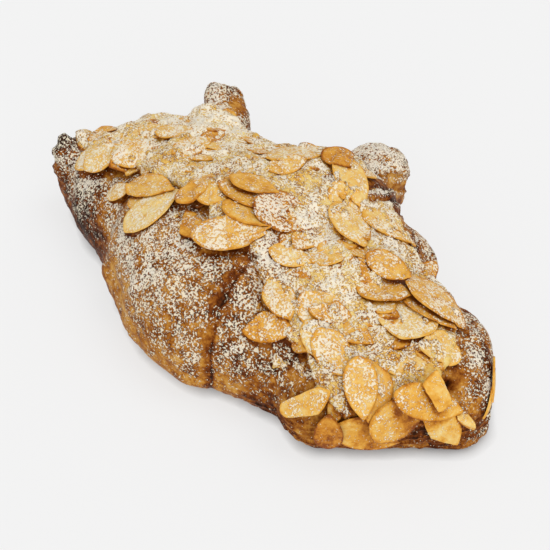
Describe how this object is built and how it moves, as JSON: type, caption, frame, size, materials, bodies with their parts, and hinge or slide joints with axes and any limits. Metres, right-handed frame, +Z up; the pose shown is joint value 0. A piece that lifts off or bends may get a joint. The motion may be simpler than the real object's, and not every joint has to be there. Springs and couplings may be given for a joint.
{
  "type": "almond croissant",
  "caption": "Bent almond croissant with stepped baked crust, a wavy cap of almond cream, sliced almonds over its top and broad end, and a horn and lobes on its far side.",
  "frame": {"origin": "bottom centre of the whole croissant, on the surface it rests on", "axes": "+X along the roll towards its broad open end, -Y towards the side with the long bare crust, +Z up"},
  "size_m": [0.1566, 0.102, 0.0477],
  "materials": {
    "baked_crust": "satin",
    "almond_cream": "matte",
    "toasted_almond": "satin"
  },
  "bodies": {
    "root": {"croissant": "baked_crust", "almond_cream": "almond_cream", "almond_slice_01": "toasted_almond", "almond_slice_02": "toasted_almond", "almond_slice_03": "toasted_almond", "almond_slice_04": "toasted_almond", "almond_slice_05": "toasted_almond", "almond_slice_06": "toasted_almond", "almond_slice_07": "toasted_almond", "almond_slice_08": "toasted_almond", "almond_slice_09": "toasted_almond", "almond_slice_10": "toasted_almond", "almond_slice_11": "toasted_almond", "almond_slice_12": "toasted_almond", "almond_slice_13": "toasted_almond", "almond_slice_14": "toasted_almond", "almond_slice_15": "toasted_almond", "almond_slice_16": "toasted_almond", "almond_slice_17": "toasted_almond", "almond_slice_18": "toasted_almond", "almond_slice_19": "toasted_almond", "almond_slice_20": "toasted_almond", "almond_slice_21": "toasted_almond", "almond_slice_22": "toasted_almond", "almond_slice_23": "toasted_almond", "almond_slice_24": "toasted_almond", "almond_slice_25": "toasted_almond", "almond_slice_26": "toasted_almond", "almond_slice_27": "toasted_almond", "almond_slice_28": "toasted_almond", "almond_slice_29": "toasted_almond", "almond_slice_30": "toasted_almond", "almond_slice_31": "toasted_almond", "almond_slice_32": "toasted_almond", "almond_slice_33": "toasted_almond", "almond_slice_34": "toasted_almond", "almond_slice_35": "toasted_almond", "almond_slice_36": "toasted_almond", "almond_slice_37": "toasted_almond", "almond_slice_38": "toasted_almond", "almond_slice_39": "toasted_almond", "almond_slice_40": "toasted_almond", "almond_slice_41": "toasted_almond", "almond_slice_42": "toasted_almond", "almond_slice_43": "toasted_almond", "almond_slice_44": "toasted_almond", "almond_slice_45": "toasted_almond", "almond_slice_46": "toasted_almond", "almond_slice_47": "toasted_almond"}
  },
  "joints": []
}
